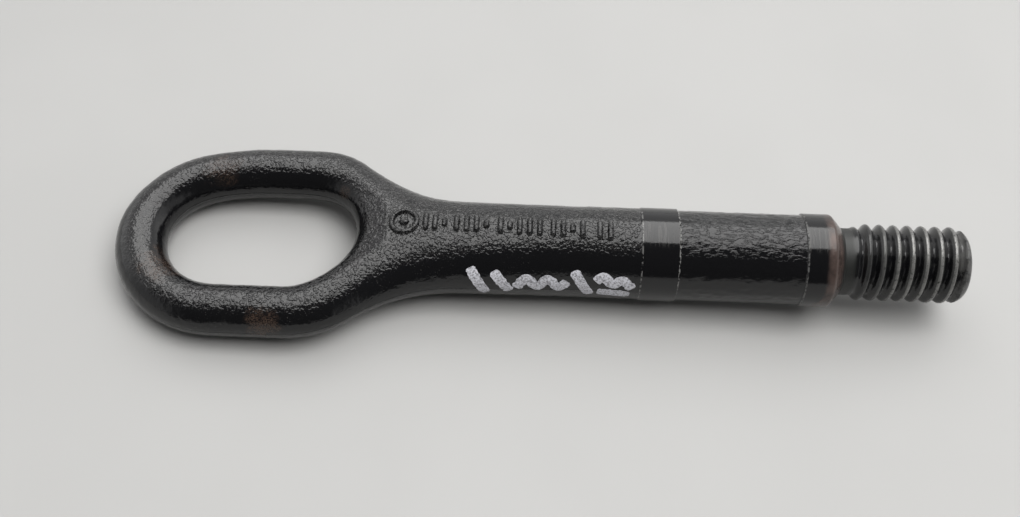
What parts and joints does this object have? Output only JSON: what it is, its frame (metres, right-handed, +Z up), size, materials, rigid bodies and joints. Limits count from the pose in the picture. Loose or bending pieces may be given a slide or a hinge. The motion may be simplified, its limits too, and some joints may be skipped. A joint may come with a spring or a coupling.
{
  "type": "tow eye",
  "caption": "Screw-in tow eye: a closed oblong eye flares into a round shank with turned seats, a rounded nose and a coarse left-hand thread.",
  "frame": {"origin": "centre of the part's footprint, on the ground it rests on", "axes": "+X from the eye towards the threaded end, +Y across the eye, +Z up. The part leans 2.6 degrees, thread end up, as it comes to rest on the far end of the eye and on the shank"},
  "size_m": [0.2439, 0.0626, 0.0297],
  "materials": {
    "forging": "gloss black paint over a rough forged skin, worn to bare steel at the nose and on the thread"
  },
  "bodies": {
    "root": {"tow_eye": "forging"}
  },
  "joints": []
}
